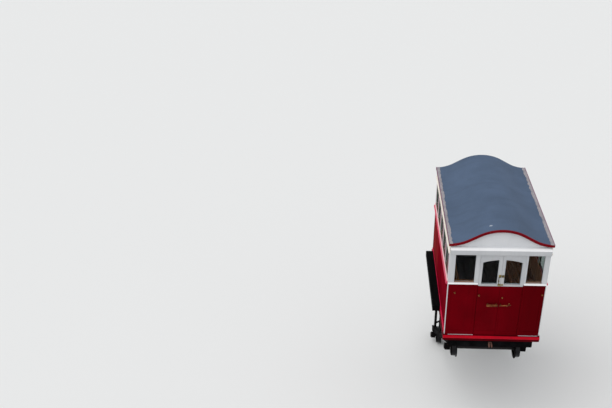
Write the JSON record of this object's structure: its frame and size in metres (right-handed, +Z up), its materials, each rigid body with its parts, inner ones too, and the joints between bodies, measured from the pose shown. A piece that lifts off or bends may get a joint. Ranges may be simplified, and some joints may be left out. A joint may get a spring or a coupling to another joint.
{
  "type": "funicular car",
  "caption": "Victorian water-balance funicular car: level timber cabin with ogee roof and end doors on a wedge underframe with flanged wheels.",
  "frame": {"origin": "on the plane of the two rail tops, midway between the four places where the wheels touch the rails", "axes": "+Z up, +Y level and downhill, +X to the right when looking downhill; the rails fall 0.71 per unit along +Y"},
  "size_m": [2.26, 3.6343, 5.3952],
  "materials": {
    "crimson_paint": "oil paint, crimson, satin",
    "red_paint": "oil paint, bright red, satin",
    "white_paint": "oil paint, white, satin",
    "door_paint": "oil paint, crimson below and white above the waist",
    "roof_felt": "mineral felt, slate blue grey, matt",
    "lead_flashing": "weathered lead, pale grey",
    "varnished_wood": "varnished timber",
    "deck_wood": "worn boards",
    "black_steel": "black bitumen paint on steel",
    "wheel_steel": "cast wheel, bright tread",
    "axle_steel": "turned steel with grease",
    "rusty_steel": "rusty forged steel",
    "brass": "aged brass",
    "window_glass": "clear glass",
    "side_glass": "tinted glass in green, yellow, pink and white"
  },
  "bodies": {
    "car": {"bottom_beams": "red_paint", "floor_boards": "deck_wood", "floor_joists": "deck_wood", "end_frame_uphill": "white_paint", "end_frame_downhill": "white_paint", "end_panels_uphill": "crimson_paint", "end_panels_downhill": "crimson_paint", "cornice_uphill": "white_paint", "cornice_downhill": "white_paint", "side_frame_left": "white_paint", "side_frame_right": "white_paint", "side_panel_left": "crimson_paint", "side_panel_right": "crimson_paint", "cantrail_left": "white_paint", "cantrail_right": "white_paint", "side_glass": "side_glass", "end_glass": "window_glass", "roof_shell": "roof_felt", "barge_boards": "crimson_paint", "eave_flashings": "lead_flashing", "gables": "white_paint", "bench_left": "varnished_wood", "bench_right": "varnished_wood", "wedge_frame_left": "black_steel", "wedge_frame_right": "black_steel", "frame_diagonals": "black_steel", "headstock": "black_steel", "transoms": "black_steel", "water_tank": "black_steel", "tank_bearers": "black_steel", "tank_pipes": "black_steel", "axle_boxes": "black_steel", "footboard_left": "black_steel", "footboard_right": "black_steel", "footboard_brackets": "black_steel", "rope_shackle": "rusty_steel"},
    "door_uphill_left_leaf": {"door_uphill_left": "door_paint", "door_glass_uphill_left": "window_glass", "pull_bar_uphill_left": "brass"},
    "door_uphill_right_leaf": {"door_uphill_right": "door_paint", "door_glass_uphill_right": "window_glass", "pull_bar_uphill_right": "brass"},
    "door_downhill_left_leaf": {"door_downhill_left": "door_paint", "door_glass_downhill_left": "window_glass", "pull_bar_downhill_left": "brass"},
    "door_downhill_right_leaf": {"door_downhill_right": "door_paint", "door_glass_downhill_right": "window_glass", "pull_bar_downhill_right": "brass"},
    "wheelset_uphill": {"wheels_uphill": "wheel_steel", "axle_uphill": "axle_steel"},
    "wheelset_downhill": {"wheels_downhill": "wheel_steel", "axle_downhill": "axle_steel"}
  },
  "joints": [
    {"name": "door_uphill_left_hinge", "type": "hinge", "parent": "car", "child": "door_uphill_left_leaf", "pos_m": [-0.365, -1.714, 2.90275], "axis": [0, 0, -1], "range_deg": [0, 100]},
    {"name": "door_uphill_right_hinge", "type": "hinge", "parent": "car", "child": "door_uphill_right_leaf", "pos_m": [0.506, -1.714, 2.90275], "axis": [0, 0, 1], "range_deg": [0, 100]},
    {"name": "door_downhill_left_hinge", "type": "hinge", "parent": "car", "child": "door_downhill_left_leaf", "pos_m": [0.365, 1.474, 2.90275], "axis": [0, 0, -1], "range_deg": [0, 100]},
    {"name": "door_downhill_right_hinge", "type": "hinge", "parent": "car", "child": "door_downhill_right_leaf", "pos_m": [-0.506, 1.474, 2.90275], "axis": [0, 0, 1], "range_deg": [0, 100]},
    {"name": "wheelset_uphill_spin", "type": "hinge", "parent": "car", "child": "wheelset_uphill", "pos_m": [0, -1.20922, 1.10383], "axis": [1, 0, 0], "continuous": true},
    {"name": "wheelset_downhill_spin", "type": "hinge", "parent": "car", "child": "wheelset_downhill", "pos_m": [0, 1.44078, -0.77767], "axis": [1, 0, 0], "continuous": true}
  ]
}
